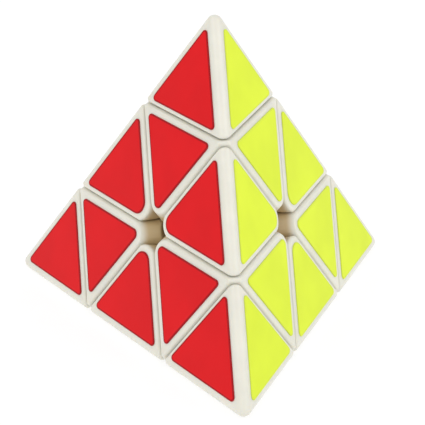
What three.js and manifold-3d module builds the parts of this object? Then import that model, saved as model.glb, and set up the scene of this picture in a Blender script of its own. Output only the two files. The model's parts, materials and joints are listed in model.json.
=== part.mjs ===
// A pyramid twisty puzzle: four snapping tips, four axial pieces and six edge pieces around a
// four-armed core, every layer turning about the axis that runs from the centre to a corner.
// Millimetres, +Z up. The origin is the centre of the core, where the four axes meet.

import * as THREE from "three";
import { ConvexGeometry } from "three/addons/geometries/ConvexGeometry.js";
import { mergeVertices } from "three/addons/utils/BufferGeometryUtils.js";
import Module from "manifold-3d";

const wasm = await Module();
wasm.setup();

// Outside form.
const SHARP_EDGE = 104; // edge of the pyramid before its corners are rounded
const OUTER_ROUND = 2.0; // rounding of the outer edges and corners
const CUT_ROUND = 0.8; // rounding where a cut meets the outside
const EDGE_NOSE = 4.57; // rounding of an edge piece's corner at the middle of a face
const AXIAL_NOSE = 4.1; // rounding of an axial piece's ridge, which ends at the middle of a face
const NOSE_STEPS = 5;
const WALL = 1.8;
const GAP = 0.3; // between pieces that move past each other

// The planes that part the pieces, as distances from the centre along a corner's axis.
const FACE_LEAN = Math.sqrt(8) / 3; // sine of the angle between a corner's axis and a face's normal
const FACE_DISTANCE = (SHARP_EDGE * Math.sqrt(6)) / 12;
const LAYER_CUT = 6.8;
const TIP_CUT = 34.1;

// The mechanism round the core: feet run under necks, both bounded by cones about the axes.
const BALL_RADIUS = 9.5;
const FOOT_TOP = 13.5;
const NECK_TOP = 15.0;
const STEM_TOP = 16.6;
const FOOT_ANGLE = THREE.MathUtils.degToRad(69);
const NECK_ANGLE = THREE.MathUtils.degToRad(63);
const CUP_ANGLE = THREE.MathUtils.degToRad(62);

// Along each axis: the core's arm, the axial piece's bore and pocket, the spring and the screw.
const ARM_RADIUS = 3.6;
const ARM_END = 20.0;
const BORE_RADIUS = ARM_RADIUS + GAP;
const HUB_FLOOR = ARM_END + 0.4;
const POCKET_FLOOR = HUB_FLOOR + 2.0;
const POCKET_RADIUS = 4.3;
const SCREW_RADIUS = 1.4;
const SCREW_HOLE_RADIUS = 1.55;
const SCREW_CLEARANCE_RADIUS = 1.8;
const SCREW_START = 9.0;
const SCREW_POINT = 1.0;
const HEAD_SEAT = 29.0;
const HEAD_HEIGHT = 1.9;
const HEAD_RADIUS = 3.8;
const WASHER_THICKNESS = 0.6;
const RECESS = { length: 2.6, width: 0.7, depth: 1.0 };
const SPRING_RADIUS = 3.0;
const SPRING_WIRE = 0.45;
const SPRING_TURNS = 5;
const SPRING_STEPS_PER_TURN = 8;
const SPRING_PLAY = 0.1;

// The tip's snap ring and the groove it turns in.
const SNAP_SEAT = 28.6;
const SNAP_PLAY = 0.5;
const SOCKET_RADIUS = 5.8;
const GROOVE_RADIUS = 6.4;
const GROOVE_BEVEL = 0.6;
const GROOVE_WIDTH = 1.4;
const RING_INNER = 4.6;
const RING_OUTER = 5.5;
const RING_LIP = 6.1;
const LIP_BEVEL = 0.5;
const LIP_WIDTH = 0.6;
const RING_SLOTS = 3;
const RING_SLOT_WIDTH = 1.2;

// The hollows inside the pieces and the round openings into them.
const HUB_RADIUS = 8.2;
const HOLLOW_FLOOR = 14.5;
const AXIAL_VENT_RADIUS = 2.0;
const AXIAL_VENT_OFFSET = 12.0;
const EDGE_VENT_RADIUS = 2.0;
const EDGE_VENT_OFFSET = FACE_LEAN * FACE_DISTANCE;

// Stickers.
const STICKER_THICKNESS = 0.25;
const STICKER_LIFT = 0.04;
const MARGIN_OUTER = 3.4;
const MARGIN_TIP = 1.65;
const MARGIN_LAYER = 1.87;
const STICKER_CORNER = 1.0;
const EDGE_STICKER_NOSE = 2.9;
const AXIAL_STICKER_NOSE = 1.5;
const CORNER_STEPS = 3;

const REACH = 80; // half-size of the blocks used for cutting
const OVERSHOOT = 1.0; // how far a cutting shape runs past what it cuts
const ROUND_STEPS = 20;
const SMALL_ROUND_STEPS = 18;
const VENT_STEPS = 10;

const AXES = {
  top: new THREE.Vector3(0, 0, 1),
  front: new THREE.Vector3(0, -Math.sqrt(8) / 3, -1 / 3),
  right: new THREE.Vector3(Math.sqrt(6) / 3, Math.sqrt(2) / 3, -1 / 3),
  left: new THREE.Vector3(-Math.sqrt(6) / 3, Math.sqrt(2) / 3, -1 / 3),
};
const CORNER_NAMES = Object.keys(AXES);
const CORNER_PAIRS = CORNER_NAMES.flatMap((first, index) =>
  CORNER_NAMES.slice(index + 1).map((second) => [first, second]),
);
const FACE_COLOURS = { right: "red", left: "yellow", front: "green", top: "blue" };

const MATERIALS = {
  plastic: { color: 0xf3f1e9, roughness: 0.35, metalness: 0.0 },
  core: { color: 0xe4e2da, roughness: 0.45, metalness: 0.0 },
  steel: { color: 0xb4b6ba, roughness: 0.3, metalness: 1.0 },
  red: { color: 0xdc2128, roughness: 0.3, metalness: 0.0 },
  yellow: { color: 0xdff23c, roughness: 0.3, metalness: 0.0 },
  green: { color: 0x1f9a48, roughness: 0.3, metalness: 0.0 },
  blue: { color: 0x1f4fb4, roughness: 0.3, metalness: 0.0 },
};

const group = new THREE.Group();

function others(...names) {
  return CORNER_NAMES.filter((name) => !names.includes(name));
}

// Triangle meshes and solids.

function signedVolume(positions, index) {
  const [a, b, c] = [new THREE.Vector3(), new THREE.Vector3(), new THREE.Vector3()];
  let volume = 0;
  for (let i = 0; i < index.length; i += 3) {
    a.fromArray(positions, 3 * index[i]);
    b.fromArray(positions, 3 * index[i + 1]);
    c.fromArray(positions, 3 * index[i + 2]);
    volume += a.dot(b.cross(c)) / 6;
  }
  return volume;
}

function solid(geometry) {
  geometry.deleteAttribute("normal");
  geometry.deleteAttribute("uv");
  const merged = mergeVertices(geometry, 1e-5);
  const positions = new Float32Array(merged.getAttribute("position").array);
  const triangles = [];
  const index = merged.getIndex().array;
  for (let i = 0; i < index.length; i += 3) {
    const [a, b, c] = [index[i], index[i + 1], index[i + 2]];
    if (a !== b && b !== c && c !== a) triangles.push(a, b, c);
  }
  if (signedVolume(positions, triangles) < 0) triangles.reverse();
  const mesh = new wasm.Mesh({
    numProp: 3,
    vertProperties: positions,
    triVerts: new Uint32Array(triangles),
  });
  return new wasm.Manifold(mesh);
}

function meshVertices(manifold) {
  const mesh = manifold.getMesh();
  const found = new Map();
  for (let i = 0; i < mesh.numVert; i += 1) {
    const point = new THREE.Vector3().fromArray(mesh.vertProperties, i * mesh.numProp);
    found.set(point.toArray().map((value) => Math.round(value * 1e3)).join(), point);
  }
  return [...found.values()];
}

function addPiece(name, manifold, material) {
  const mesh = manifold.getMesh();
  const geometry = new THREE.BufferGeometry();
  geometry.setAttribute("position", new THREE.BufferAttribute(mesh.vertProperties, 3));
  geometry.setIndex(new THREE.BufferAttribute(mesh.triVerts, 1));
  geometry.computeVertexNormals();
  const piece = new THREE.Mesh(geometry, new THREE.MeshStandardMaterial(MATERIALS[material]));
  piece.name = name;
  group.add(piece);
}

// Shapes placed along an axis through the centre.

function pointAlong(geometry, axis) {
  const turn = new THREE.Quaternion().setFromUnitVectors(new THREE.Vector3(0, 0, 1), axis);
  return geometry.applyQuaternion(turn);
}

function turned(profile, axis, steps = ROUND_STEPS) {
  const points = profile.map(([radius, height]) => new THREE.Vector2(radius, height));
  const geometry = new THREE.LatheGeometry([...points, points[0]], steps);
  return solid(pointAlong(geometry.rotateX(Math.PI / 2), axis));
}

function rod(radius, from, to, axis, steps = ROUND_STEPS) {
  return turned([[0, from], [radius, from], [radius, to], [0, to]], axis, steps);
}

function ball(radius) {
  return solid(new THREE.SphereGeometry(radius, ROUND_STEPS, ROUND_STEPS / 2));
}

function halfSpace({ normal, offset }) {
  const box = new THREE.BoxGeometry(2 * REACH, 2 * REACH, 2 * REACH);
  box.translate(0, 0, offset - REACH);
  return solid(pointAlong(box, normal));
}

function intersection(manifolds) {
  return manifolds.reduce((result, next) => result.intersect(next));
}

// Directions spread evenly over a ball, holding every plane normal of the pyramid exactly.

function edgeMidpoints(directions) {
  const corners = new ConvexGeometry(directions).getAttribute("position");
  const found = new Map();
  for (let i = 0; i < corners.count; i += 1) {
    const next = i % 3 === 2 ? i - 2 : i + 1;
    const start = new THREE.Vector3().fromBufferAttribute(corners, i);
    const end = new THREE.Vector3().fromBufferAttribute(corners, next);
    const middle = start.add(end).normalize();
    found.set(middle.toArray().map((value) => Math.round(value * 1e4) + 0).join(), middle);
  }
  return [...found.values()];
}

function axisDirections() {
  const axes = Object.values(AXES);
  const pairs = CORNER_PAIRS.map(([a, b]) => AXES[a].clone().add(AXES[b]).normalize());
  return [...axes, ...axes.map((axis) => axis.clone().negate()), ...pairs];
}

const COARSE_DIRECTIONS = axisDirections();
const FINE_DIRECTIONS = [...COARSE_DIRECTIONS, ...edgeMidpoints(COARSE_DIRECTIONS)];

function swollenHull(points, radius, directions) {
  const cloud = points.flatMap((point) =>
    directions.map((direction) => point.clone().addScaledVector(direction, radius)),
  );
  return solid(new ConvexGeometry(cloud));
}

// The pyramid with every face moved inwards.
function pyramidCorners(inset) {
  return Object.values(AXES).map((axis) => axis.clone().multiplyScalar(3 * (FACE_DISTANCE - inset)));
}

// Planes are given by their outward normal and their distance from the centre.

function below(corner, distance) {
  return { normal: AXES[corner], offset: distance };
}

function above(corner, distance) {
  return { normal: AXES[corner].clone().negate(), offset: -distance };
}

// The direction across a corner's axis, towards another corner.
function sideDirection(corner, other) {
  return AXES[other].clone().addScaledVector(AXES[corner], 1 / 3).normalize();
}

// The plane that stands square on a face where the face meets an edge piece's cut.
function squareCut(face, corner, distance) {
  const offset = (FACE_DISTANCE / 3 - distance) / FACE_LEAN;
  return { normal: sideDirection(face, corner).negate(), offset };
}

// Planes that touch a cylinder lying in the corner between two equally distant planes.
function nosePlanes(first, second, radius, inset) {
  const middle = first.normal.clone().add(second.normal).normalize();
  const reach = (first.offset - radius) / middle.dot(first.normal);
  const centre = middle.multiplyScalar(reach);
  const hinge = first.normal.clone().cross(second.normal).normalize();
  const spread = first.normal.angleTo(second.normal);
  return Array.from({ length: NOSE_STEPS - 1 }, (_, step) => {
    const angle = (spread * (step + 1)) / NOSE_STEPS;
    const normal = first.normal.clone().applyAxisAngle(hinge, angle);
    return { normal, offset: normal.dot(centre) + radius - inset };
  });
}

// Cell planes of a piece; the inset moves them all into the piece.

function tipPlanes(corner, inset) {
  return [above(corner, TIP_CUT + GAP / 2 + inset)];
}

function axialPlanes(corner, inset) {
  const sides = others(corner).map((name) => below(name, LAYER_CUT - GAP / 2));
  const noses = sides.flatMap((side, index) =>
    nosePlanes(side, sides[(index + 1) % sides.length], AXIAL_NOSE, inset),
  );
  return [
    above(corner, LAYER_CUT + GAP / 2 + inset),
    below(corner, TIP_CUT - GAP / 2 - inset),
    ...sides.map(({ normal, offset }) => ({ normal, offset: offset - inset })),
    ...noses,
  ];
}

function edgePlanes(pair, inset) {
  const side = LAYER_CUT + GAP / 2;
  const noses = others(...pair).flatMap((face) => {
    const [first, second] = pair.map((name) => squareCut(face, name, side));
    return nosePlanes(first, second, EDGE_NOSE, inset);
  });
  return [
    ...pair.map((name) => above(name, side + inset)),
    ...pair.map((name) => below(name, TIP_CUT - GAP / 2 - inset)),
    ...noses,
  ];
}

// A piece's outside: its cell with every edge rounded, more strongly on the pyramid's own edges.
function roundedCell(planes, directions = COARSE_DIRECTIONS) {
  const corners = pyramidCorners(OUTER_ROUND);
  const outer = swollenHull(corners, OUTER_ROUND - CUT_ROUND, FINE_DIRECTIONS);
  const inner = intersection([outer, ...planes.map(halfSpace)]);
  return swollenHull(meshVertices(inner), CUT_ROUND, directions);
}

function cavity(planes) {
  const pyramid = solid(new ConvexGeometry(pyramidCorners(WALL)));
  return intersection([pyramid, ...planes.map(halfSpace)]);
}

// Everything that turns with a corner's layer: a cone for the feet, a tighter cone for the
// necks, then the flat cut. A positive clearance shrinks it, a negative one grows it.
function layerSector(corner, clearance, footAngle = FOOT_ANGLE, neckAngle = NECK_ANGLE) {
  const ledge = FOOT_TOP - clearance;
  const lean = Math.asin(clearance / ledge);
  const cut = LAYER_CUT + clearance;
  const onLedge = (angle) => [ledge * Math.sin(angle - lean), ledge * Math.cos(angle - lean)];
  const neckEnd = (cut * Math.sin(neckAngle) - clearance) / Math.cos(neckAngle);
  const profile = [
    [0, clearance / Math.sin(footAngle)],
    onLedge(footAngle),
    ...(footAngle === neckAngle ? [] : [onLedge((footAngle + neckAngle) / 2), onLedge(neckAngle)]),
    [neckEnd, cut],
    [REACH, cut],
    [REACH, REACH],
    [0, REACH],
  ];
  return turned(profile, AXES[corner]);
}

// Pieces.

// A round opening through a wall that stands square on a corner's axis.
function vent(radius, axis, centre) {
  const cylinder = new THREE.CylinderGeometry(radius, radius, 2 * WALL, VENT_STEPS);
  return solid(pointAlong(cylinder.rotateX(Math.PI / 2), axis).translate(...centre.toArray()));
}

// A block turned about +Z and then stood along an axis.
function block(size, centre, turn, axis) {
  const box = new THREE.BoxGeometry(...size);
  box.translate(...centre).rotateZ(turn);
  return solid(pointAlong(box, axis));
}

// The tip's snap ring, still a solid plug.
function snapPlug(axis) {
  const start = SNAP_SEAT + SNAP_PLAY;
  const profile = [
    [0, start],
    [RING_OUTER + 0.1, start],
    [RING_LIP, start + LIP_BEVEL],
    [RING_LIP, start + LIP_BEVEL + LIP_WIDTH],
    [RING_OUTER, start + LIP_BEVEL + 2 * LIP_WIDTH],
    [RING_OUTER, TIP_CUT + WALL],
    [0, TIP_CUT + WALL],
  ];
  const height = TIP_CUT - SNAP_SEAT - 1;
  const size = [2 * RING_LIP, RING_SLOT_WIDTH, height];
  const centre = [RING_LIP, 0, SNAP_SEAT + height / 2];
  let plug = turned(profile, axis);
  for (let slot = 0; slot < RING_SLOTS; slot += 1) {
    plug = plug.subtract(block(size, centre, (2 * Math.PI * slot) / RING_SLOTS, axis));
  }
  return plug;
}

function tip(corner) {
  const axis = AXES[corner];
  const hollow = cavity(tipPlanes(corner, WALL));
  const throat = rod(RING_INNER, SNAP_SEAT, TIP_CUT + 2 * WALL, axis);
  const outside = roundedCell(tipPlanes(corner, CUT_ROUND), FINE_DIRECTIONS);
  return outside.add(snapPlug(axis)).subtract(hollow).subtract(throat);
}

// What is cut out of an axial piece along its axis.
function axialBore(axis) {
  const grooveEnd = SNAP_SEAT + GROOVE_BEVEL + GROOVE_WIDTH;
  const profile = [
    [0, 0],
    [BORE_RADIUS, 0],
    [BORE_RADIUS, HUB_FLOOR],
    [SCREW_CLEARANCE_RADIUS, HUB_FLOOR],
    [SCREW_CLEARANCE_RADIUS, POCKET_FLOOR],
    [POCKET_RADIUS, POCKET_FLOOR],
    [POCKET_RADIUS, SNAP_SEAT],
    [SOCKET_RADIUS, SNAP_SEAT],
    [GROOVE_RADIUS, SNAP_SEAT + GROOVE_BEVEL],
    [GROOVE_RADIUS, grooveEnd],
    [SOCKET_RADIUS, grooveEnd + GROOVE_BEVEL],
    [SOCKET_RADIUS, TIP_CUT + OVERSHOOT],
    [0, TIP_CUT + OVERSHOOT],
  ];
  return turned(profile, axis);
}

function axialHollow(corner) {
  const axis = AXES[corner];
  const hub = rod(HUB_RADIUS, 0, TIP_CUT + OVERSHOOT, axis);
  const floor = halfSpace(above(corner, HOLLOW_FLOOR));
  const shell = cavity(axialPlanes(corner, WALL)).intersect(floor).subtract(hub);
  return others(corner).reduce((hollow, name) => {
    const centre = axis.clone().multiplyScalar(TIP_CUT - WALL);
    centre.addScaledVector(sideDirection(corner, name), AXIAL_VENT_OFFSET);
    return hollow.add(vent(AXIAL_VENT_RADIUS, axis, centre));
  }, shell);
}

function axial(corner) {
  const cup = layerSector(corner, GAP / 2, CUP_ANGLE, CUP_ANGLE).intersect(ball(NECK_TOP));
  const body = roundedCell(axialPlanes(corner, CUT_ROUND)).add(cup);
  const cuts = [
    ...others(corner).map((name) => layerSector(name, -GAP / 2)),
    ball(BALL_RADIUS + GAP),
    axialBore(AXES[corner]),
    axialHollow(corner),
  ];
  return cuts.reduce((result, cut) => result.subtract(cut), body);
}

function edge(pair) {
  const sectors = pair.map((name) => layerSector(name, GAP / 2));
  const stem = intersection([...sectors, ball(STEM_TOP)]).subtract(ball(BALL_RADIUS + GAP));
  const hollow = cavity(edgePlanes(pair, WALL)).subtract(ball(STEM_TOP));
  const body = roundedCell(edgePlanes(pair, CUT_ROUND)).add(stem).subtract(hollow);
  return pair.reduce((result, name, index) => {
    const centre = AXES[name].clone().multiplyScalar(LAYER_CUT + WALL / 2);
    centre.addScaledVector(sideDirection(name, pair[1 - index]), EDGE_VENT_OFFSET);
    return result.subtract(vent(EDGE_VENT_RADIUS, AXES[name], centre));
  }, body);
}

function core() {
  const axes = Object.values(AXES);
  const arms = axes.map((axis) => rod(ARM_RADIUS, 0, ARM_END, axis));
  const body = arms.reduce((result, arm) => result.add(arm), ball(BALL_RADIUS));
  const start = SCREW_START - OVERSHOOT;
  const holes = axes.map((axis) =>
    rod(SCREW_HOLE_RADIUS, start, ARM_END + OVERSHOOT, axis, SMALL_ROUND_STEPS),
  );
  return holes.reduce((result, hole) => result.subtract(hole), body);
}

// A screw with a washer under its domed head and a cross recess in it.
function screw(axis) {
  const top = HEAD_SEAT + HEAD_HEIGHT;
  const washerTop = HEAD_SEAT + WASHER_THICKNESS;
  const profile = [
    [0, SCREW_START],
    [SCREW_RADIUS, SCREW_START + SCREW_POINT],
    [SCREW_RADIUS, HEAD_SEAT],
    [HEAD_RADIUS, HEAD_SEAT],
    [HEAD_RADIUS, washerTop],
    [HEAD_RADIUS * 0.72, washerTop + 0.15],
    [HEAD_RADIUS * 0.6, top - 0.2],
    [HEAD_RADIUS * 0.35, top],
    [0, top],
  ];
  const size = [RECESS.length, RECESS.width, 2 * RECESS.depth];
  const slots = [0, Math.PI / 2].map((turn) => block(size, [0, 0, top], turn, axis));
  const body = turned(profile, axis, SMALL_ROUND_STEPS);
  return slots.reduce((result, slot) => result.subtract(slot), body);
}

// A coil with a flat turn at each end.
class Coil extends THREE.Curve {
  constructor(from, to) {
    super();
    this.from = from;
    this.to = to;
  }

  getPoint(t, target = new THREE.Vector3()) {
    const angle = 2 * Math.PI * SPRING_TURNS * t;
    const rise = THREE.MathUtils.smoothstep(t, 0, 1);
    const height = this.from + (this.to - this.from) * (0.35 * t + 0.65 * rise);
    return target.set(SPRING_RADIUS * Math.cos(angle), SPRING_RADIUS * Math.sin(angle), height);
  }
}

function spring(axis) {
  const margin = SPRING_WIRE + SPRING_PLAY;
  const section = new THREE.Shape();
  section.absarc(0, 0, SPRING_WIRE, 0, 2 * Math.PI);
  const geometry = new THREE.ExtrudeGeometry(section, {
    steps: SPRING_STEPS_PER_TURN * SPRING_TURNS,
    curveSegments: 3,
    bevelEnabled: false,
    extrudePath: new Coil(POCKET_FLOOR + margin, HEAD_SEAT - margin),
  });
  return solid(pointAlong(geometry, axis));
}

// Stickers: triangles given by how far they reach along the axes of the face's three corners.

function facePoint(face, reaches) {
  const point = AXES[face].clone().multiplyScalar(-FACE_DISTANCE);
  for (const [name, reach] of Object.entries(reaches)) point.addScaledVector(AXES[name], reach);
  return point.multiplyScalar(0.75);
}

function stickerCorners(face, limits) {
  const names = others(face);
  return names.map((name) => {
    const reaches = { ...limits };
    const rest = names.filter((other) => other !== name);
    reaches[name] = FACE_DISTANCE - limits[rest[0]] - limits[rest[1]];
    return { name, point: facePoint(face, reaches) };
  });
}

// The outline, seen along +Z, of a triangle whose corners are rounded by different radii.
function roundedOutline(corners) {
  const centre = new THREE.Vector3();
  for (const { point } of corners) centre.addScaledVector(point, 1 / corners.length);
  const headings = corners.map(({ point, radius }) => ({
    point,
    radius,
    heading: Math.atan2(point.y - centre.y, point.x - centre.x),
  }));
  headings.sort((a, b) => a.heading - b.heading);
  return headings.flatMap(({ point, radius, heading }) => {
    const arcX = point.x - 2 * radius * Math.cos(heading);
    const arcY = point.y - 2 * radius * Math.sin(heading);
    return Array.from({ length: CORNER_STEPS + 1 }, (_, step) => {
      const angle = heading + (step / CORNER_STEPS - 0.5) * ((2 * Math.PI) / 3);
      return new THREE.Vector2(arcX + radius * Math.cos(angle), arcY + radius * Math.sin(angle));
    });
  });
}

function sticker(face, limits, noseCorner, noseRadius) {
  const normal = AXES[face].clone().negate();
  const flatten = new THREE.Quaternion().setFromUnitVectors(normal, new THREE.Vector3(0, 0, 1));
  const corners = stickerCorners(face, limits).map(({ name, point }) => ({
    radius: name === noseCorner ? noseRadius : STICKER_CORNER,
    point: point.applyQuaternion(flatten),
  }));
  const geometry = new THREE.ExtrudeGeometry(new THREE.Shape(roundedOutline(corners)), {
    depth: STICKER_THICKNESS,
    bevelEnabled: false,
  });
  geometry.translate(0, 0, FACE_DISTANCE + STICKER_LIFT);
  return solid(geometry.applyQuaternion(flatten.invert()));
}

// Assembly.

function faceStickers(face) {
  const corners = others(face);
  const colour = FACE_COLOURS[face];
  const outer = FACE_LEAN * MARGIN_OUTER - FACE_DISTANCE;
  const tipSide = TIP_CUT + FACE_LEAN * MARGIN_TIP;
  const axialTop = TIP_CUT - FACE_LEAN * MARGIN_TIP;
  const axialSide = LAYER_CUT - FACE_LEAN * MARGIN_LAYER;
  const edgeSide = LAYER_CUT + FACE_LEAN * MARGIN_LAYER;
  for (const corner of corners) {
    const [second, third] = corners.filter((name) => name !== corner);
    const onTip = sticker(face, { [corner]: tipSide, [second]: outer, [third]: outer });
    addPiece(`sticker_${colour}_tip_${corner}`, onTip, colour);
    const axialLimits = { [corner]: axialTop, [second]: axialSide, [third]: axialSide };
    const onAxial = sticker(face, axialLimits, corner, AXIAL_STICKER_NOSE);
    addPiece(`sticker_${colour}_axial_${corner}`, onAxial, colour);
    const edgeLimits = { [corner]: outer, [second]: edgeSide, [third]: edgeSide };
    const onEdge = sticker(face, edgeLimits, corner, EDGE_STICKER_NOSE);
    addPiece(`sticker_${colour}_edge_${second}_${third}`, onEdge, colour);
  }
}

addPiece("core", core(), "core");
for (const [corner, axis] of Object.entries(AXES)) {
  addPiece(`axial_${corner}`, axial(corner), "plastic");
  addPiece(`tip_${corner}`, tip(corner), "plastic");
  addPiece(`screw_${corner}`, screw(axis), "steel");
  addPiece(`spring_${corner}`, spring(axis), "steel");
}
for (const pair of CORNER_PAIRS) addPiece(`edge_${pair.join("_")}`, edge(pair), "plastic");
for (const face of CORNER_NAMES) faceStickers(face);

export default group;
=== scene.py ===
import itertools
import json
import math

import bmesh
import bpy
from mathutils import Matrix, Vector


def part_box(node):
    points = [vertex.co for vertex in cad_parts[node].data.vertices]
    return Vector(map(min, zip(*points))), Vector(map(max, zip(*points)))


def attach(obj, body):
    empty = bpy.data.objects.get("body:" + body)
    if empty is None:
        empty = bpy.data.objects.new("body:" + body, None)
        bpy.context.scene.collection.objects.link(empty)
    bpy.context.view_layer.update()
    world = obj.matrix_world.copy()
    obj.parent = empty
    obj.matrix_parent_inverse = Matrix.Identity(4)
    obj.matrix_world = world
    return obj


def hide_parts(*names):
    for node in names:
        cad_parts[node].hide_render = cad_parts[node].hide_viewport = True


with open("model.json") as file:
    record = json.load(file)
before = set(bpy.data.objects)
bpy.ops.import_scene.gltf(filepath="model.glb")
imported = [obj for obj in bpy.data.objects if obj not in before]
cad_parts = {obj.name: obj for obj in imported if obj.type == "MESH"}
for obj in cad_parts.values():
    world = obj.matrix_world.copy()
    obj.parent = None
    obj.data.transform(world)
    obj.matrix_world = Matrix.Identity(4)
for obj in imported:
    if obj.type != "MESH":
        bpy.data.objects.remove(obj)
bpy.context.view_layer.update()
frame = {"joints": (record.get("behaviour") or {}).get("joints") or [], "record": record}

# ---------------------------------------------------------------------------
# Driving dimensions in metres, the same as the CAD model's
# ---------------------------------------------------------------------------

MM = 0.001

# Cuts, gaps, walls and roundings of the outer pieces
FACE_DISTANCE = -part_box("edge_front_left")[0].z
AXIAL_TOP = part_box("axial_top")[1].z
GAP = 0.3 * MM
TIP_CUT = AXIAL_TOP + GAP / 2
LAYER_CUT = 6.8 * MM
OUTER_ROUND = 2.0 * MM
CUT_ROUND = 0.8 * MM
EDGE_NOSE = 4.57 * MM
AXIAL_NOSE = 4.1 * MM
NOSE_STEPS = 12
WALL = 1.8 * MM

# The core's ball, and the edge pieces' feet and necks inside the axial pieces' cups
BALL_RADIUS = 9.5 * MM
FOOT_TOP = 13.5 * MM
NECK_TOP = 15.0 * MM
STEM_TOP = 16.6 * MM
FOOT_ANGLE = math.radians(69)
NECK_ANGLE = math.radians(63)
CUP_ANGLE = math.radians(62)

# The core's arms, the screws and the springs
ARM_RADIUS = 3.6 * MM
ARM_END = 20.0 * MM
ARM_BEVEL = 0.3 * MM
BORE_RADIUS = ARM_RADIUS + GAP
HUB_FLOOR = ARM_END + 0.4 * MM
POCKET_FLOOR = HUB_FLOOR + 2.0 * MM
POCKET_RADIUS = 4.3 * MM
SCREW_CLEARANCE_RADIUS = 1.8 * MM
SCREW_HOLE_RADIUS = 1.55 * MM
SCREW_RADIUS = 1.4 * MM
SCREW_START = 9.0 * MM
SCREW_TIP = 0.4 * MM
SCREW_POINT = 1.2 * MM
HEAD_SEAT = 29.0 * MM
HEAD_HEIGHT = 1.9 * MM
HEAD_RADIUS = 3.8 * MM
WASHER_THICKNESS = 0.6 * MM
WASHER_BEVEL = 0.08 * MM
RECESS = (2.6 * MM, 0.7 * MM, 2.0 * MM)
SPRING_RADIUS = 3.0 * MM
SPRING_WIRE = 0.45 * MM
SPRING_PLAY = 0.1 * MM
SPRING_TURNS = 5
SPRING_EVENNESS = 0.35

# The tips' snap rings and their sockets, and the hollows of the axial and edge pieces
SNAP_SEAT = 28.6 * MM
SOCKET_RADIUS = 5.8 * MM
GROOVE_RADIUS = 6.4 * MM
GROOVE_BEVEL = 0.6 * MM
GROOVE_WIDTH = 1.4 * MM
RING_START = SNAP_SEAT + 0.5 * MM
RING_INNER = 4.6 * MM
RING_OUTER = 5.5 * MM
RING_LEAD = 5.6 * MM
RING_LIP = 6.1 * MM
LIP_BEVEL = 0.5 * MM
LIP_WIDTH = 0.6 * MM
RING_SLOTS = 3
RING_SLOT_WIDTH = 1.2 * MM
HUB_RADIUS = 8.2 * MM
HOLLOW_FLOOR = 14.5 * MM
AXIAL_VENT_RADIUS = 2.0 * MM
AXIAL_VENT_OFFSET = 12.0 * MM
EDGE_VENT_RADIUS = 2.0 * MM

# Stickers, and the painted shade rim round each, a darker outline that stands in for shade at the
# sticker's edge
STICKER_THICKNESS = 0.25 * MM
STICKER_LIFT = 0.04 * MM
STICKER_ROUND = 0.11 * MM
STICKER_ROUND_STEPS = 3
RIM_SHADE_SHARE = "rim_share"
RIM_SHADE_START = 0.38 * MM
RIM_SHADE_END = 0.50 * MM
MARGIN_OUTER = 3.4 * MM
MARGIN_TIP = 1.65 * MM
MARGIN_LAYER = 1.87 * MM
STICKER_CORNER = 1.0 * MM
EDGE_STICKER_NOSE = 2.9 * MM
AXIAL_STICKER_NOSE = 1.5 * MM
CORNER_STEPS = 10

# Sizes and steps of the solids that pieces are made from
REACH = 80 * MM
OVERSHOOT = 1.0 * MM
ROUND_STEPS = 72
SMALL_ROUND_STEPS = 48
HOLE_STEPS = 32

UP = Vector((0, 0, 1))
FACE_LEAN = math.sqrt(8) / 3

# A direction for each corner, and the colour of the face opposite it
AXES = {
    joint["name"].replace("_layer_turn", ""): Vector(joint["axis"]).normalized()
    for joint in frame["joints"]
    if joint["name"].endswith("_layer_turn")
}
CORNERS = list(AXES)
PAIRS = list(itertools.combinations(CORNERS, 2))
FACE_COLOURS = {"right": "red", "left": "yellow", "front": "green", "top": "blue"}


def others(*names):
    return [name for name in CORNERS if name not in names]


def side_direction(corner, other):
    """At right angles to a corner's axis, towards another corner."""
    return (AXES[other] + AXES[corner] / 3).normalized()


# ---------------------------------------------------------------------------
# Mesh building: worked out in millimetres, and scaled to metres when a piece is placed
# ---------------------------------------------------------------------------

SCALE = 1 / MM


def new_piece(name, mesh):
    piece = bpy.data.objects.new(name, mesh)
    bpy.context.scene.collection.objects.link(piece)
    return piece


def to_mesh(bm, name="work"):
    bmesh.ops.recalc_face_normals(bm, faces=bm.faces)
    mesh = bpy.data.meshes.new(name)
    bm.to_mesh(mesh)
    bm.free()
    return mesh


def hull(points):
    """A bmesh holding only the convex hull of the points."""
    bm = bmesh.new()
    for point in points:
        bm.verts.new(point)
    bmesh.ops.remove_doubles(bm, verts=bm.verts, dist=1e-4)
    result = bmesh.ops.convex_hull(bm, input=bm.verts, use_existing_faces=False)
    inside = {item for key in ("geom_interior", "geom_unused") for item in result[key]}
    spare = [item for item in inside if isinstance(item, bmesh.types.BMVert) and item.is_valid]
    bmesh.ops.delete(bm, geom=spare, context="VERTS")
    return bm


def bridge(bm, rings):
    """Faces between each closed ring of vertices and the next."""
    for first, second in zip(rings, rings[1:]):
        for index in range(len(first)):
            following = (index + 1) % len(first)
            bm.faces.new((first[index], first[following], second[following], second[index]))


def clip(points, normal, offset):
    """Corners of the part of a convex solid that lies below a plane."""
    bm = hull(points)
    bmesh.ops.bisect_plane(
        bm,
        geom=bm.verts[:] + bm.edges[:] + bm.faces[:],
        dist=1e-5,
        plane_co=normal * offset,
        plane_no=normal,
        clear_outer=True,
    )
    kept = [vertex.co.copy() for vertex in bm.verts]
    bm.free()
    return kept


def ball_directions(levels):
    """Directions spread over a ball that hold every plane normal of the pyramid."""
    axes = list(AXES.values())
    pairs = [(AXES[a] + AXES[b]).normalized() for a, b in PAIRS]
    directions = axes + [-axis for axis in axes] + pairs
    for _ in range(levels):
        bm = hull(directions)
        middles = [(edge.verts[0].co + edge.verts[1].co).normalized() for edge in bm.edges]
        bm.free()
        directions = directions + middles
    return directions


DIRECTIONS = ball_directions(2)


def swollen(points, radius):
    """Points whose hull is the hull of the given ones, grown all round."""
    return [point + direction * radius for point in points for direction in DIRECTIONS]


def pyramid_corners(inset):
    """The pyramid with every face moved inwards."""
    return [axis * (3 * (FACE_DISTANCE * SCALE - inset)) for axis in AXES.values()]


# Planes are given by their outward normal and their distance from the centre.


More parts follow.
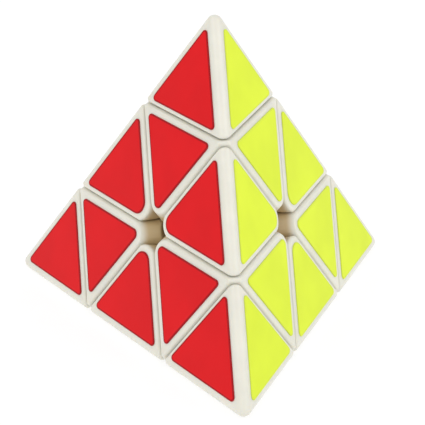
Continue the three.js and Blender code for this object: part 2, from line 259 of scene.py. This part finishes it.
def below(corner, distance):
    return AXES[corner], distance


def above(corner, distance):
    return -AXES[corner], -distance


def square_cut(face, corner, distance):
    """The plane that stands square on a face where the face meets an edge piece's cut."""
    return -side_direction(face, corner), (FACE_DISTANCE * SCALE / 3 - distance) / FACE_LEAN


def nose_planes(first, second, radius, inset):
    """Planes that touch a cylinder lying in the corner between two equally distant planes."""
    middle = (first[0] + second[0]).normalized()
    centre = middle * ((first[1] - radius) / middle.dot(first[0]))
    planes = []
    for step in range(1, NOSE_STEPS):
        normal = first[0].slerp(second[0], step / NOSE_STEPS).normalized()
        planes.append((normal, normal.dot(centre) + radius - inset))
    return planes


def tip_planes(corner, inset):
    return [above(corner, (TIP_CUT + GAP / 2) * SCALE + inset)]


def axial_planes(corner, inset):
    sides = [below(name, (LAYER_CUT - GAP / 2) * SCALE) for name in others(corner)]
    planes = [
        above(corner, (LAYER_CUT + GAP / 2) * SCALE + inset),
        below(corner, (TIP_CUT - GAP / 2) * SCALE - inset),
    ]
    planes += [(normal, offset - inset) for normal, offset in sides]
    for first, second in itertools.combinations(sides, 2):
        planes += nose_planes(first, second, AXIAL_NOSE * SCALE, inset)
    return planes


def edge_planes(pair, inset):
    side = (LAYER_CUT + GAP / 2) * SCALE
    planes = [above(name, side + inset) for name in pair]
    planes += [below(name, (TIP_CUT - GAP / 2) * SCALE - inset) for name in pair]
    for face in others(*pair):
        first, second = (square_cut(face, name, side) for name in pair)
        planes += nose_planes(first, second, EDGE_NOSE * SCALE, inset)
    return planes


def clipped(points, planes):
    """Corners of the part of a convex solid that lies below all the planes."""
    for normal, offset in planes:
        points = clip(points, normal, offset)
    return points


def rounded_cell(planes):
    """A cell of the pyramid with all its edges rounded, its outer ones more strongly."""
    outer = swollen(pyramid_corners(OUTER_ROUND * SCALE), (OUTER_ROUND - CUT_ROUND) * SCALE)
    inner = clipped(outer, planes)
    bm = hull(swollen(inner, CUT_ROUND * SCALE))
    bmesh.ops.dissolve_limit(bm, angle_limit=math.radians(0.3), verts=bm.verts, edges=bm.edges)
    return to_mesh(bm)


def cavity(planes):
    """The space inside the outer walls that lies below all the planes."""
    return to_mesh(hull(clipped(pyramid_corners(WALL * SCALE), planes)))


def turned(profile, axis, steps=ROUND_STEPS):
    """A closed profile of (radius, height) in metres, turned about an axis through the centre."""
    bm = bmesh.new()
    turn = UP.rotation_difference(axis).to_matrix()
    rings = []
    for radius, height in profile:
        if radius < 1e-9:
            rings.append([bm.verts.new(turn @ Vector((0, 0, height * SCALE)))])
            continue
        angles = (2 * math.pi * step / steps for step in range(steps))
        spots = (
            Vector((radius * math.cos(a) * SCALE, radius * math.sin(a) * SCALE, height * SCALE))
            for a in angles
        )
        rings.append([bm.verts.new(turn @ spot) for spot in spots])
    for first, second in zip(rings, rings[1:] + rings[:1]):
        for step in range(steps):
            following = (step + 1) % steps
            corners = [
                first[step % len(first)],
                first[following % len(first)],
                second[following % len(second)],
                second[step % len(second)],
            ]
            unique = list(dict.fromkeys(corners))
            if len(unique) > 2:
                bm.faces.new(unique)
    return to_mesh(bm)


def rod(radius, start, end, axis, steps=ROUND_STEPS):
    return turned([(0, start), (radius, start), (radius, end), (0, end)], axis, steps)


def ball(radius):
    bm = bmesh.new()
    bmesh.ops.create_uvsphere(
        bm, u_segments=ROUND_STEPS, v_segments=ROUND_STEPS // 2, radius=radius * SCALE
    )
    return to_mesh(bm)


def placed_rod(radius, length, axis, centre):
    mesh = rod(radius, -length / 2, length / 2, axis, HOLE_STEPS)
    mesh.transform(Matrix.Translation(centre * SCALE))
    return mesh


def placed_block(size, centre, turn, axis):
    """A box, turned about +Z, then stood along an axis."""
    bm = bmesh.new()
    bmesh.ops.create_cube(bm, size=1)
    bmesh.ops.scale(bm, vec=Vector(size) * SCALE, verts=bm.verts)
    bmesh.ops.translate(bm, vec=Vector(centre) * SCALE, verts=bm.verts)
    stand = UP.rotation_difference(axis).to_matrix() @ Matrix.Rotation(turn, 3, "Z")
    bmesh.ops.rotate(bm, matrix=stand, cent=(0, 0, 0), verts=bm.verts)
    return to_mesh(bm)


def combined(mesh, steps):
    """The mesh after joining (UNION), cutting (DIFFERENCE) or keeping (INTERSECT) each tool."""
    work = new_piece("work", mesh)
    tools = []
    for operation, tool in steps:
        helper = new_piece("tool", tool)
        tools.append(helper)
        modifier = work.modifiers.new(operation, "BOOLEAN")
        modifier.object = helper
        modifier.operation = operation
        modifier.solver = "MANIFOLD"
    bpy.context.view_layer.update()
    graph = bpy.context.evaluated_depsgraph_get()
    result = bpy.data.meshes.new_from_object(work.evaluated_get(graph))
    for item in tools + [work]:
        bpy.data.objects.remove(item)
    return result


def layer_sector(corner, clearance, foot_angle=FOOT_ANGLE, neck_angle=NECK_ANGLE):
    """All that turns with a layer: a cone for the feet, a tighter one for the necks, a flat cut."""
    ledge = FOOT_TOP - clearance
    lean = math.asin(clearance / ledge)
    cut = LAYER_CUT + clearance
    angles = dict.fromkeys((foot_angle, (foot_angle + neck_angle) / 2, neck_angle))
    profile = [(0, clearance / math.sin(foot_angle))]
    profile += [(ledge * math.sin(angle - lean), ledge * math.cos(angle - lean)) for angle in angles]
    profile += [
        ((cut * math.sin(neck_angle) - clearance) / math.cos(neck_angle), cut),
        (REACH, cut),
        (REACH, REACH),
        (0, REACH),
    ]
    return turned(profile, AXES[corner])


# ---------------------------------------------------------------------------
# Plastic pieces
# ---------------------------------------------------------------------------


def snap_plug(axis):
    """A tip's slotted ring, whose lip snaps into the groove of the axial piece."""
    lip_end = RING_START + LIP_BEVEL + LIP_WIDTH
    profile = [
        (0, RING_START),
        (RING_LEAD, RING_START),
        (RING_LIP, RING_START + LIP_BEVEL),
        (RING_LIP, lip_end),
        (RING_OUTER, lip_end + LIP_WIDTH),
        (RING_OUTER, TIP_CUT + WALL),
        (0, TIP_CUT + WALL),
    ]
    height = TIP_CUT - SNAP_SEAT - OVERSHOOT
    size = (2 * RING_LIP, RING_SLOT_WIDTH, height)
    centre = (RING_LIP, 0, SNAP_SEAT + height / 2)
    slots = [
        ("DIFFERENCE", placed_block(size, centre, 2 * math.pi * slot / RING_SLOTS, axis))
        for slot in range(RING_SLOTS)
    ]
    return combined(turned(profile, axis), slots)


def tip_mesh(corner):
    axis = AXES[corner]
    steps = [
        ("UNION", snap_plug(axis)),
        ("DIFFERENCE", cavity(tip_planes(corner, WALL * SCALE))),
        ("DIFFERENCE", rod(RING_INNER, SNAP_SEAT, TIP_CUT + 2 * WALL, axis)),
    ]
    return combined(rounded_cell(tip_planes(corner, CUT_ROUND * SCALE)), steps)


def axial_bore(axis):
    """What is cut out along the axis for the core's arm, the screw, the spring and the tip."""
    groove_end = SNAP_SEAT + GROOVE_BEVEL + GROOVE_WIDTH
    profile = [
        (0, 0),
        (BORE_RADIUS, 0),
        (BORE_RADIUS, HUB_FLOOR),
        (SCREW_CLEARANCE_RADIUS, HUB_FLOOR),
        (SCREW_CLEARANCE_RADIUS, POCKET_FLOOR),
        (POCKET_RADIUS, POCKET_FLOOR),
        (POCKET_RADIUS, SNAP_SEAT),
        (SOCKET_RADIUS, SNAP_SEAT),
        (GROOVE_RADIUS, SNAP_SEAT + GROOVE_BEVEL),
        (GROOVE_RADIUS, groove_end),
        (SOCKET_RADIUS, groove_end + GROOVE_BEVEL),
        (SOCKET_RADIUS, TIP_CUT + OVERSHOOT),
        (0, TIP_CUT + OVERSHOOT),
    ]
    return turned(profile, axis)


def axial_hollow(corner):
    """The space round the hub, with a vent at each side of the tip."""
    axis = AXES[corner]
    planes = [above(corner, HOLLOW_FLOOR * SCALE)] + axial_planes(corner, WALL * SCALE)
    steps = [("DIFFERENCE", rod(HUB_RADIUS, 0, TIP_CUT + OVERSHOOT, axis))]
    for name in others(corner):
        centre = axis * (TIP_CUT - WALL) + side_direction(corner, name) * AXIAL_VENT_OFFSET
        steps.append(("UNION", placed_rod(AXIAL_VENT_RADIUS, 2 * WALL, axis, centre)))
    return combined(cavity(planes), steps)


def axial_mesh(corner):
    cup = layer_sector(corner, GAP / 2, CUP_ANGLE, CUP_ANGLE)
    steps = [("UNION", combined(cup, [("INTERSECT", ball(NECK_TOP))]))]
    steps += [("DIFFERENCE", layer_sector(name, -GAP / 2)) for name in others(corner)]
    steps += [
        ("DIFFERENCE", ball(BALL_RADIUS + GAP)),
        ("DIFFERENCE", axial_bore(AXES[corner])),
        ("DIFFERENCE", axial_hollow(corner)),
    ]
    return combined(rounded_cell(axial_planes(corner, CUT_ROUND * SCALE)), steps)


def edge_mesh(pair):
    stem = combined(
        layer_sector(pair[0], GAP / 2),
        [
            ("INTERSECT", layer_sector(pair[1], GAP / 2)),
            ("INTERSECT", ball(STEM_TOP)),
            ("DIFFERENCE", ball(BALL_RADIUS + GAP)),
        ],
    )
    hollow = combined(cavity(edge_planes(pair, WALL * SCALE)), [("DIFFERENCE", ball(STEM_TOP))])
    steps = [("UNION", stem), ("DIFFERENCE", hollow)]
    for corner, other in (pair, pair[::-1]):
        centre = AXES[corner] * (LAYER_CUT + WALL / 2)
        centre += side_direction(corner, other) * (FACE_LEAN * FACE_DISTANCE)
        steps.append(("DIFFERENCE", placed_rod(EDGE_VENT_RADIUS, 2 * WALL, AXES[corner], centre)))
    return combined(rounded_cell(edge_planes(pair, CUT_ROUND * SCALE)), steps)


# ---------------------------------------------------------------------------
# Core, screws and springs
# ---------------------------------------------------------------------------


def core_mesh():
    arm = [
        (0, 0),
        (ARM_RADIUS, 0),
        (ARM_RADIUS, ARM_END - ARM_BEVEL),
        (ARM_RADIUS - ARM_BEVEL, ARM_END),
        (0, ARM_END),
    ]
    steps = [("UNION", turned(arm, axis, SMALL_ROUND_STEPS)) for axis in AXES.values()]
    for axis in AXES.values():
        start, end = SCREW_START - OVERSHOOT, ARM_END + OVERSHOOT
        steps.append(("DIFFERENCE", rod(SCREW_HOLE_RADIUS, start, end, axis, HOLE_STEPS)))
    return combined(ball(BALL_RADIUS), steps)


def screw_mesh(axis):
    """A pointed screw with its washer and a domed head that has a cross recess."""
    washer_top = HEAD_SEAT + WASHER_THICKNESS
    top = HEAD_SEAT + HEAD_HEIGHT
    profile = [
        (0, SCREW_START),
        (SCREW_RADIUS * 0.55, SCREW_START + SCREW_TIP),
        (SCREW_RADIUS, SCREW_START + SCREW_POINT),
        (SCREW_RADIUS, HEAD_SEAT),
        (HEAD_RADIUS - WASHER_BEVEL, HEAD_SEAT),
        (HEAD_RADIUS, HEAD_SEAT + WASHER_BEVEL),
        (HEAD_RADIUS, washer_top - WASHER_BEVEL),
        (HEAD_RADIUS - WASHER_BEVEL, washer_top),
        (HEAD_RADIUS * 0.73, washer_top + 0.02 * MM),
        (HEAD_RADIUS * 0.7, washer_top + 0.5 * MM),
        (HEAD_RADIUS * 0.6, top - 0.3 * MM),
        (HEAD_RADIUS * 0.42, top - 0.08 * MM),
        (HEAD_RADIUS * 0.2, top),
        (0, top),
    ]
    slots = [
        ("DIFFERENCE", placed_block(RECESS, (0, 0, top), turn, axis))
        for turn in (0, math.pi / 2)
    ]
    return combined(turned(profile, axis, SMALL_ROUND_STEPS), slots)


def spring_mesh(axis, sides=12, steps_per_turn=32):
    """A coil of wire whose turns close up at both ends."""
    margin = SPRING_WIRE + SPRING_PLAY
    start = POCKET_FLOOR + margin
    rise = HEAD_SEAT - margin - start
    turn = UP.rotation_difference(axis).to_matrix()
    count = steps_per_turn * SPRING_TURNS
    bm = bmesh.new()
    rings = []
    for step in range(count + 1):
        share = step / count
        angle = 2 * math.pi * SPRING_TURNS * share
        eased = share * share * (3 - 2 * share)
        height = start + rise * (SPRING_EVENNESS * share + (1 - SPRING_EVENNESS) * eased)
        outward = Vector((math.cos(angle), math.sin(angle), 0))
        centre = outward * SPRING_RADIUS + UP * height
        ring = []
        for side in range(sides):
            round_angle = 2 * math.pi * side / sides
            offset = outward * math.cos(round_angle) + UP * math.sin(round_angle)
            ring.append(bm.verts.new(turn @ (centre + offset * SPRING_WIRE) * SCALE))
        rings.append(ring)
    bridge(bm, rings)
    bm.faces.new(rings[0])
    bm.faces.new(rings[-1][::-1])
    return to_mesh(bm)


# ---------------------------------------------------------------------------
# Stickers
# ---------------------------------------------------------------------------


def face_point(face, reaches):
    """The point on a face that reaches given distances along the axes of the face's corners."""
    total = AXES[face] * -FACE_DISTANCE
    for name, reach in reaches.items():
        total += AXES[name] * reach
    return total * 0.75


def sticker_corners(face, limits):
    """Sharp corners of a sticker that reaches a limit along the axis of each of its face's corners."""
    names = others(face)
    found = {}
    for name in names:
        rest = [other for other in names if other != name]
        reach = FACE_DISTANCE - sum(limits[other] for other in rest)
        found[name] = face_point(face, {**limits, name: reach})
    return found


def rounded_outline(corners, radii, inset):
    """Points round a triangle with rounded corners, in the plane of its flattened corners."""
    centre = sum(corners.values(), Vector((0, 0, 0))) / 3

    def heading_of(name):
        return math.atan2(corners[name].y - centre.y, corners[name].x - centre.x)

    outline = []
    for name in sorted(corners, key=heading_of):
        heading = heading_of(name)
        radius = radii[name]
        away = Vector((math.cos(heading), math.sin(heading), 0)) * (2 * radius)
        arc_centre = corners[name] - away
        for step in range(CORNER_STEPS + 1):
            angle = heading + (step / CORNER_STEPS - 0.5) * (2 * math.pi / 3)
            spot = Vector((math.cos(angle), math.sin(angle), 0)) * (radius - inset)
            outline.append(arc_centre + spot)
    return outline


def sticker_levels():
    """(height, inset, share of the painted rim shade) from a sticker's underside over its round edge.
    """
    base = FACE_DISTANCE + STICKER_LIFT
    top = base + STICKER_THICKNESS
    levels = [(base, 0.0, 1.0)]
    for step in range(STICKER_ROUND_STEPS + 1):
        angle = math.pi / 2 * step / STICKER_ROUND_STEPS
        height = top - STICKER_ROUND * (1 - math.sin(angle))
        levels.append((height, STICKER_ROUND * (1 - math.cos(angle)), 1.0))
    return levels + [(top, RIM_SHADE_START, 1.0), (top, RIM_SHADE_END, 0.0)]


def sticker_mesh(face, limits, nose_corner=None, nose_radius=STICKER_CORNER):
    normal = -AXES[face]
    flatten = normal.rotation_difference(UP).to_matrix()
    corners = {name: flatten @ point for name, point in sticker_corners(face, limits).items()}
    radii = {name: nose_radius if name == nose_corner else STICKER_CORNER for name in corners}
    bm = bmesh.new()
    rim_share = bm.verts.layers.float.new(RIM_SHADE_SHARE)
    raise_back = flatten.transposed()
    rings = []
    for height, inset, share in sticker_levels():
        ring = []
        for spot in rounded_outline(corners, radii, inset):
            vertex = bm.verts.new(raise_back @ Vector((spot.x, spot.y, height)) * SCALE)
            vertex[rim_share] = share
            ring.append(vertex)
        rings.append(ring)
    bridge(bm, rings)
    bm.faces.new(rings[0][::-1])
    bm.faces.new(rings[-1])
    return to_mesh(bm)


def sticker_shapes(face):
    """(node ending, mesh) for the nine stickers of a face."""
    outer = FACE_LEAN * MARGIN_OUTER - FACE_DISTANCE
    side = LAYER_CUT - FACE_LEAN * MARGIN_LAYER
    inner = LAYER_CUT + FACE_LEAN * MARGIN_LAYER
    for corner in others(face):
        rest = [name for name in others(face) if name != corner]
        tip_limits = {corner: TIP_CUT + FACE_LEAN * MARGIN_TIP, rest[0]: outer, rest[1]: outer}
        yield f"tip_{corner}", sticker_mesh(face, tip_limits)
        axial_limits = {corner: TIP_CUT - FACE_LEAN * MARGIN_TIP, rest[0]: side, rest[1]: side}
        yield f"axial_{corner}", sticker_mesh(face, axial_limits, corner, AXIAL_STICKER_NOSE)
        edge_limits = {corner: outer, rest[0]: inner, rest[1]: inner}
        yield f"edge_{rest[0]}_{rest[1]}", sticker_mesh(face, edge_limits, corner, EDGE_STICKER_NOSE)


# ---------------------------------------------------------------------------
# Materials
# ---------------------------------------------------------------------------

# Distances from the centre between which the plastic turns to its painted shade colour, a darker,
# warmer tint that stands in for the shade and warm bounced light inside the puzzle
PAINTED_SHADE_FROM = 21.5 * MM
PAINTED_SHADE_TO = 19.4 * MM

# Outer colour and painted shade colour of each plastic, and face colour and painted rim shade colour
# of each sticker
PLASTIC_COLOURS = {
    "white_plastic": ((0.765, 0.75, 0.665), (0.56, 0.43, 0.24)),
    "core_plastic": ((0.55, 0.47, 0.32), (0.50, 0.36, 0.20)),
}
STICKER_COLOURS = {
    "sticker_red": ((0.735, 0.005, 0.009), (0.36, 0.004, 0.008)),
    "sticker_yellow": ((0.755, 0.90, 0.030), (0.68, 0.80, 0.05)),
    "sticker_green": ((0.012, 0.33, 0.075), (0.006, 0.18, 0.04)),
    "sticker_blue": ((0.01, 0.06, 0.42), (0.006, 0.03, 0.22)),
}
STEEL_COLOUR = (0.62, 0.62, 0.64)


def rgba(colour, factor=1.0):
    return tuple(min(1.0, channel * factor) for channel in colour) + (1.0,)


class Nodes:
    """Adds nodes to a material and links them."""

    def __init__(self, name):
        self.material = bpy.data.materials.new(name)
        self.material.use_nodes = True
        self.tree = self.material.node_tree
        self.shader = self.tree.nodes["Principled BSDF"]

    def node(self, kind, **settings):
        made = self.tree.nodes.new("ShaderNode" + kind)
        for key, value in settings.items():
            setattr(made, key, value)
        return made

    def feed(self, socket, value):
        if isinstance(value, bpy.types.NodeSocket):
            self.tree.links.new(value, socket)
        else:
            socket.default_value = value

    def set(self, **values):
        for name, value in values.items():
            self.feed(self.shader.inputs[name.replace("_", " ")], value)

    def math(self, operation, first, second=0.0, clamp=False):
        made = self.node("Math", operation=operation, use_clamp=clamp)
        self.feed(made.inputs[0], first)
        self.feed(made.inputs[1], second)
        return made.outputs[0]

    def ramp(self, value, low, high, to_low=0.0, to_high=1.0):
        """A smooth step of a value from one range to another."""
        made = self.node("MapRange", interpolation_type="SMOOTHSTEP")
        for socket, amount in zip(made.inputs[:5], (value, low, high, to_low, to_high)):
            self.feed(socket, amount)
        return made.outputs[0]

    def mix(self, share, first, second, blend_type="MIX"):
        made = self.node("Mix", data_type="RGBA", blend_type=blend_type)
        self.feed(made.inputs["Factor"], share)
        self.feed(made.inputs["A"], first)
        self.feed(made.inputs["B"], second)
        return made.outputs["Result"]

    def position(self):
        return self.node("TexCoord").outputs["Object"]

    def noise(self, size, detail=3.0, roughness=0.5, distortion=0.0):
        """Noise whose lumps are about a given size in metres."""
        made = self.node("TexNoise")
        self.feed(made.inputs["Vector"], self.position())
        self.feed(made.inputs["Scale"], 1 / size)
        self.feed(made.inputs["Detail"], detail)
        self.feed(made.inputs["Roughness"], roughness)
        self.feed(made.inputs["Distortion"], distortion)
        return made.outputs["Fac"]

    def bump(self, height, depth, normal=None):
        made = self.node("Bump")
        self.feed(made.inputs["Strength"], 1.0)
        self.feed(made.inputs["Distance"], depth)
        self.feed(made.inputs["Height"], height)
        if normal is not None:
            self.feed(made.inputs["Normal"], normal)
        return made.outputs["Normal"]

    def edges(self, width):
        """How far the surface turns within a distance: 1 on sharp edges, 0 on flats."""
        bevel = self.node("Bevel", samples=6)
        self.feed(bevel.inputs["Radius"], width)
        across = self.node("VectorMath", operation="DOT_PRODUCT")
        self.feed(across.inputs[0], bevel.outputs["Normal"])
        self.feed(across.inputs[1], self.node("NewGeometry").outputs["True Normal"])
        return self.ramp(across.outputs["Value"], 1.0, 0.86)

    def rim(self):
        """Painted shade at a sticker's outline: 1 at the outline, 0 further in, read from the share
        stored on the mesh.
        """
        stored = self.node("Attribute", attribute_name=RIM_SHADE_SHARE)
        return self.ramp(stored.outputs["Fac"], 0.0, 1.0)


def plastic(name, colour, deep_colour):
    """Moulded plastic: faint mottling and smudges, a fine grain, rubbed edges and painted shade
    inside, a darker, warmer colour towards the centre.
    """
    nodes = Nodes(name)
    mottle = nodes.noise(9 * MM, detail=4.0, roughness=0.6)
    grain = nodes.noise(0.35 * MM, detail=2.0)
    smudges = nodes.noise(4 * MM, detail=5.0, roughness=0.65, distortion=0.6)
    rubbed = nodes.edges(0.7 * MM)

    # Painted shade: the base colour turns darker and warmer towards the centre, where the inside of
    # the puzzle lies in shade
    depth = nodes.node("VectorMath", operation="LENGTH")
    nodes.feed(depth.inputs[0], nodes.position())
    inside = nodes.ramp(depth.outputs["Value"], PAINTED_SHADE_FROM, PAINTED_SHADE_TO)

    shade = nodes.ramp(mottle, 0.3, 0.75)
    outside = nodes.mix(shade, rgba(colour, 0.955), rgba(colour, 1.02))
    nodes.set(
        Base_Color=nodes.mix(inside, outside, rgba(deep_colour)),
        Roughness=nodes.math(
            "SUBTRACT",
            nodes.ramp(smudges, 0.35, 0.7, 0.30, 0.42),
            nodes.math("MULTIPLY", rubbed, 0.08),
        ),
        IOR=1.53,
        Subsurface_Weight=0.25,
        Subsurface_Scale=1.5 * MM,
        Subsurface_Radius=(1.0, 0.8, 0.55),
        Normal=nodes.bump(grain, 0.006 * MM, nodes.bump(mottle, 0.03 * MM)),
    )
    return nodes.material


def vinyl(name, colour, rim_colour):
    """Satin sticker: even print, slight orange peel, painted shade darkening its rim, and light
    handling marks.
    """
    nodes = Nodes(name)
    print_tone = nodes.noise(14 * MM, detail=2.0)
    peel = nodes.noise(1.6 * MM, detail=2.0, roughness=0.4)
    marks = nodes.noise(5 * MM, detail=6.0, roughness=0.7, distortion=1.2)
    # Painted shade: a darker band along the sticker's outline
    rim = nodes.rim()
    shade = nodes.ramp(print_tone, 0.3, 0.7)
    face_colour = nodes.mix(shade, rgba(colour, 0.93), rgba(colour))
    nodes.set(
        Base_Color=nodes.mix(rim, face_colour, rgba(rim_colour)),
        Roughness=nodes.ramp(marks, 0.35, 0.72, 0.28, 0.33),
        Specular_IOR_Level=0.12,
        Normal=nodes.bump(peel, 0.012 * MM),
    )
    return nodes.material


def steel(name, colour):
    """Zinc-plated steel: cloudy plating and fine scratches."""
    nodes = Nodes(name)
    cloud = nodes.noise(1.2 * MM, detail=4.0)
    scratches = nodes.noise(0.12 * MM, detail=3.0, distortion=2.5)
    tone = nodes.ramp(cloud, 0.3, 0.7)
    nodes.set(
        Base_Color=nodes.mix(tone, rgba(colour, 0.8), rgba(colour)),
        Metallic=1.0,
        Roughness=nodes.ramp(scratches, 0.35, 0.7, 0.22, 0.4),
        Normal=nodes.bump(scratches, 0.003 * MM),
    )
    return nodes.material


MATERIALS = {"steel": steel("steel", STEEL_COLOUR)}
for slot, (colour, deep_colour) in PLASTIC_COLOURS.items():
    MATERIALS[slot] = plastic(slot, colour, deep_colour)
for slot, (colour, rim_colour) in STICKER_COLOURS.items():
    MATERIALS[slot] = vinyl(slot, colour, rim_colour)


# ---------------------------------------------------------------------------
# Assembly
# ---------------------------------------------------------------------------

BODY_OF_NODE = {
    node: body
    for body, members in frame["record"]["behaviour"]["bodies"].items()
    for node in members
}


def shade(mesh, sharp_angle):
    mesh.polygons.foreach_set("use_smooth", [True] * len(mesh.polygons))
    mesh.set_sharp_from_angle(angle=math.radians(sharp_angle))


def place(node, mesh, slot, sharp_angle=40):
    """Stands a mesh worked out in millimetres in a CAD node's place, on the node's body."""
    mesh.transform(Matrix.Scale(1 / SCALE, 4))
    mesh.name = node + "_look"
    mesh.materials.clear()
    mesh.materials.append(MATERIALS[slot])
    piece = new_piece(node + "_look", mesh)
    shade(mesh, sharp_angle)
    weighted = piece.modifiers.new("weighted_normals", "WEIGHTED_NORMAL")
    weighted.keep_sharp = True
    weighted.weight = 100
    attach(piece, BODY_OF_NODE[node])
    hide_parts(node)
    return piece


def turn_taking(moves):
    """The rotation, or mirrored rotation, that takes three corners to three others."""
    source = Matrix([AXES[name] for name in moves]).transposed()
    target = Matrix([AXES[name] for name in moves.values()]).transposed()
    return (target @ source.inverted()).to_4x4()


def copied(mesh, matrix):
    result = mesh.copy()
    result.transform(matrix)
    if matrix.determinant() < 0:
        result.flip_normals()
    return result


def corner_moves(corner):
    """What takes the top corner to another one, without mirroring."""
    if corner == "top":
        return {name: name for name in ("top", "front", "right")}
    first, second = others("top", corner)
    return {"top": corner, corner: "top", first: second}


def build_object():
    place("core", core_mesh(), "core_plastic")
    tip, axial = tip_mesh("top"), axial_mesh("top")
    screw, spring = screw_mesh(UP), spring_mesh(UP)
    for corner in CORNERS:
        matrix = turn_taking(corner_moves(corner))
        place(f"tip_{corner}", copied(tip, matrix), "white_plastic")
        place(f"axial_{corner}", copied(axial, matrix), "white_plastic")
        place(f"screw_{corner}", copied(screw, matrix), "steel")
        place(f"spring_{corner}", copied(spring, matrix), "steel", 60)
    first_pair = PAIRS[0]
    edge = edge_mesh(first_pair)
    for pair in PAIRS:
        rest, first_rest = others(*pair), others(*first_pair)
        moves = {first_pair[0]: pair[0], first_pair[1]: pair[1], first_rest[0]: rest[0]}
        place("edge_" + "_".join(pair), copied(edge, turn_taking(moves)), "white_plastic")
    for face, colour in FACE_COLOURS.items():
        for ending, mesh in sticker_shapes(face):
            place(f"sticker_{colour}_{ending}", mesh, "sticker_" + colour, 60)


# ---------------------------------------------------------------------------
# Camera, light and floor
# ---------------------------------------------------------------------------

CAMERA_AZIMUTH = math.radians(-7.2)
CAMERA_ELEVATION = math.radians(26.04)
CAMERA_DISTANCE = 442.3 * MM
CAMERA_AIM_ACROSS = -0.50 * MM
CAMERA_AIM_UP = 5.93 * MM
CAMERA_LENS = 145.0
CAMERA_SENSOR = 36.0

# Angles in degrees, distances and sizes in metres, power in watts
LAMPS = {
    "key": {
        "azimuth": -50, "elevation": 50, "distance": 1.2,
        "size": 0.9, "watts": 3.5, "colour": (1.0, 0.99, 0.97),
    },
    "fill": {
        "azimuth": 60, "elevation": 40, "distance": 1.3,
        "size": 1.0, "watts": 3.8, "colour": (1.0, 1.0, 1.0),
    },
}
WORLD_STRENGTH = 0.72

FLOOR_GAP = 0.05 * MM
FLOOR_RINGS = ((0.15, 0), (0.6, 0), (1.5, 0), (2.4, 0.05), (3.0, 0.3))  # radius and rise
FLOOR_STEPS = 64
FLOOR_GLOW = 0.73


def direction_from(azimuth, elevation):
    return Vector((
        math.sin(azimuth) * math.cos(elevation),
        -math.cos(azimuth) * math.cos(elevation),
        math.sin(elevation),
    ))


def add_camera():
    data = bpy.data.cameras.new("camera")
    data.lens = CAMERA_LENS
    data.sensor_width = CAMERA_SENSOR
    data.clip_start = 0.01
    data.clip_end = 20
    camera = bpy.data.objects.new("camera", data)
    bpy.context.scene.collection.objects.link(camera)
    back = direction_from(CAMERA_AZIMUTH, CAMERA_ELEVATION)
    across = Vector((math.cos(CAMERA_AZIMUTH), math.sin(CAMERA_AZIMUTH), 0))
    camera.location = across * CAMERA_AIM_ACROSS + UP * CAMERA_AIM_UP + back * CAMERA_DISTANCE
    camera.rotation_euler = back.to_track_quat("Z", "Y").to_euler()
    bpy.context.scene.camera = camera


def add_lamp(name, azimuth, elevation, distance, size, watts, colour):
    """A round soft lamp that looks at the centre."""
    data = bpy.data.lights.new(name, "AREA")
    data.shape = "DISK"
    data.size = size
    data.energy = watts
    data.color = colour
    lamp = bpy.data.objects.new(name, data)
    bpy.context.scene.collection.objects.link(lamp)
    back = direction_from(math.radians(azimuth), math.radians(elevation))
    lamp.location = back * distance
    lamp.rotation_euler = back.to_track_quat("Z", "Y").to_euler()


def floor_material():
    """A white sheet lit from behind, so that colours hardly bounce on to it."""
    nodes = Nodes("floor_paper")
    fibre = nodes.noise(1.5 * MM, detail=4.0)
    tone = nodes.ramp(nodes.noise(60 * MM, detail=2.0), 0.3, 0.7)
    nodes.set(
        Base_Color=nodes.mix(tone, rgba((0.30, 0.30, 0.30)), rgba((0.32, 0.32, 0.32))),
        Roughness=nodes.ramp(fibre, 0.3, 0.7, 0.75, 0.9),
        Specular_IOR_Level=0.1,
        Emission_Color=rgba((1, 1, 1)),
        Emission_Strength=FLOOR_GLOW,
        Normal=nodes.bump(fibre, 0.01 * MM),
    )
    return nodes.material


def add_floor():
    """A round pale sheet under the object that curves gently up at its far rim."""
    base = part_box("sticker_blue_axial_front")[0].z - FLOOR_GAP
    angles = [2 * math.pi * step / FLOOR_STEPS for step in range(FLOOR_STEPS)]
    bm = bmesh.new()
    rings = [
        [bm.verts.new((radius * math.cos(a), radius * math.sin(a), base + rise)) for a in angles]
        for radius, rise in FLOOR_RINGS
    ]
    bm.faces.new(rings[0])
    bridge(bm, rings[::-1])
    mesh = bpy.data.meshes.new("floor")
    bm.to_mesh(mesh)
    bm.free()
    mesh.polygons.foreach_set("use_smooth", [True] * len(mesh.polygons))
    mesh.materials.append(floor_material())
    new_piece("floor", mesh)


def add_world():
    world = bpy.data.worlds.new("studio")
    world.use_nodes = True
    background = world.node_tree.nodes["Background"]
    background.inputs["Color"].default_value = rgba((1, 1, 1))
    background.inputs["Strength"].default_value = WORLD_STRENGTH
    bpy.context.scene.world = world


def light_studio():
    add_world()
    for name, settings in LAMPS.items():
        add_lamp(name, **settings)
    bpy.context.scene.view_settings.view_transform = "Standard"


add_camera()
build_object()
add_floor()
light_studio()
bpy.context.view_layer.update()
